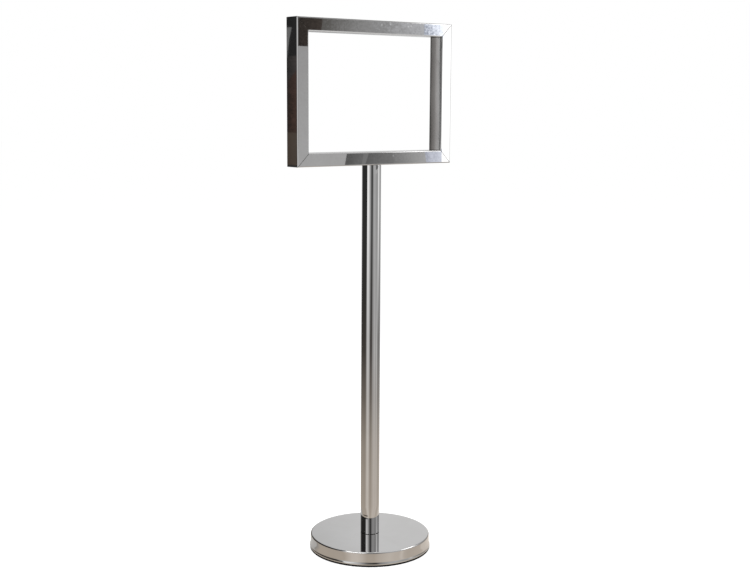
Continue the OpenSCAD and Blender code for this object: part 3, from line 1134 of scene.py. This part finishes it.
def edge_strip(name, z, left, right, left_level, right_level):
    """A level strip just above or below a front edge of a rail, whose glow runs along the rail."""
    before = front_y - STRIP_BEFORE
    behind = front_y + STRIP_BEHIND
    strip = card_face([(left, before, z), (right, before, z), (right, behind, z), (left, behind, z)])
    glow = card_material(name, grey(left_level), grey(right_level), STRIP_MOTTLE, spots=0)
    stage_object(name, strip, glow, glossy_only=True)


def rim_strip(name, start, turn, level):
    """A level strip just above the rounded edge of the base, from an angle to the camera's side."""
    height = cover_high.z + STRIP_AWAY
    profile = [(skirt_r - RIM_STRIP_BEHIND, height), (skirt_r + RIM_STRIP_BEFORE, height)]
    plain_card(name, spun_sheet(profile, CAMERA_SIDE + start, turn), level)


def make_edge_sheets():
    over_top = top_high.z + STRIP_AWAY
    under_top = top_low.z - STRIP_AWAY
    # Painted highlights along the left stile and under the top rail, painted dark lines over the top rail
    # and on the base's rim
    edge_sheet("left_edge_painted_highlight", left_low.x, rail_low.z, top_high.z, level=0.85)
    edge_strip("top_edge_painted_dark_reflection", over_top, left_low.x, -left_low.x, left_level=0.06, right_level=0.4)
    edge_strip("under_edge_painted_highlight", under_top, -opening_x, opening_x, left_level=1.3, right_level=1.1)
    rim_strip("left_rim_painted_dark_reflection", start=-80, turn=56, level=0.01)


# Half the floor's width in metres, and levels that bring it and the world behind it to white
FLOOR_SIZE = 30
FLOOR_COLOUR = (0.8, 0.8, 0.8, 1)
FLOOR_GLOW = 0.6
WORLD_LEVEL = 0.5


def seen_by_camera_and_gloss(tree):
    """One for camera, glossy and transmission rays, so that metal shows the same white ground."""
    path = add_node(tree, "ShaderNodeLightPath")
    first = add_node(tree, "ShaderNodeMath", {"operation": "MAXIMUM"})
    both = add_node(tree, "ShaderNodeMath", {"operation": "MAXIMUM"})
    link(tree, path, "Is Camera Ray", first, 0)
    link(tree, path, "Is Glossy Ray", first, 1)
    link(tree, first, "Value", both, 0)
    link(tree, path, "Is Transmission Ray", both, 1)
    return both


def make_floor():
    """Pale floor: the world's light on it and its own glow add up to white, away from shadows."""
    material, tree, glow = glow_tree("pale_floor")
    ground = add_node(tree, "ShaderNodeBsdfDiffuse", {"Color": FLOOR_COLOUR})
    both = add_node(tree, "ShaderNodeAddShader")
    level = add_node(tree, "ShaderNodeMath", {"operation": "MULTIPLY", 1: FLOOR_GLOW})
    link(tree, seen_by_camera_and_gloss(tree), "Value", level, 0)
    link(tree, level, "Value", glow, "Strength")
    link(tree, ground, "BSDF", both, 0)
    link(tree, glow, "Emission", both, 1)
    result = next(node for node in tree.nodes if node.type == "OUTPUT_MATERIAL")
    link(tree, both, "Shader", result, "Surface")
    bm = bmesh.new()
    bmesh.ops.create_grid(bm, x_segments=1, y_segments=1, size=FLOOR_SIZE)
    stage_object("pale_floor", bm, material, glossy_only=False)


def make_world():
    world = bpy.data.worlds.new("white_studio")
    world.use_nodes = True
    scene.world = world
    tree = world.node_tree
    tree.nodes.clear()
    sky = add_node(tree, "ShaderNodeBackground", {"Color": (1, 1, 1, 1)})
    result = add_node(tree, "ShaderNodeOutputWorld")
    level = add_node(tree, "ShaderNodeMapRange", {"To Min": WORLD_LEVEL, "To Max": 1.0})
    link(tree, seen_by_camera_and_gloss(tree), "Value", level, "Value")
    link(tree, level, "Result", sky, "Strength")
    link(tree, sky, "Background", result, "Surface")


def soft_lamp(name, place, aim, size, power):
    """A round lamp, in metres and watts, which the polished faces don't show."""
    data = bpy.data.lights.new(name, "AREA")
    data.shape = "DISK"
    data.size = size
    data.energy = power
    lamp = bpy.data.objects.new(name, data)
    lamp.location = place
    lamp.rotation_euler = (Vector(aim) - Vector(place)).to_track_quat("-Z", "Y").to_euler()
    lamp.visible_glossy = False
    scene.collection.objects.link(lamp)


def make_lamps():
    soft_lamp("key_lamp", (-2.2, -1.6, 2.8), aim=(0, 0, 0.6), size=1.6, power=30)
    soft_lamp("fill_lamp", (2.0, -2.2, 1.8), aim=(0, 0, 0.7), size=1.6, power=15)
    soft_lamp("top_lamp", (0.2, 0.6, 3.2), aim=(0, 0, 0), size=2.0, power=20)


make_camera()
make_sign_frame()
make_post()
make_base_cover()
make_floor_ring()
make_gasket()
make_hidden_pieces()
make_floor()
make_world()
make_surround()
make_front_cards()
make_side_cards()
make_ledge_cards()
make_edge_sheets()
make_lamps()

scene.view_settings.view_transform = "Standard"
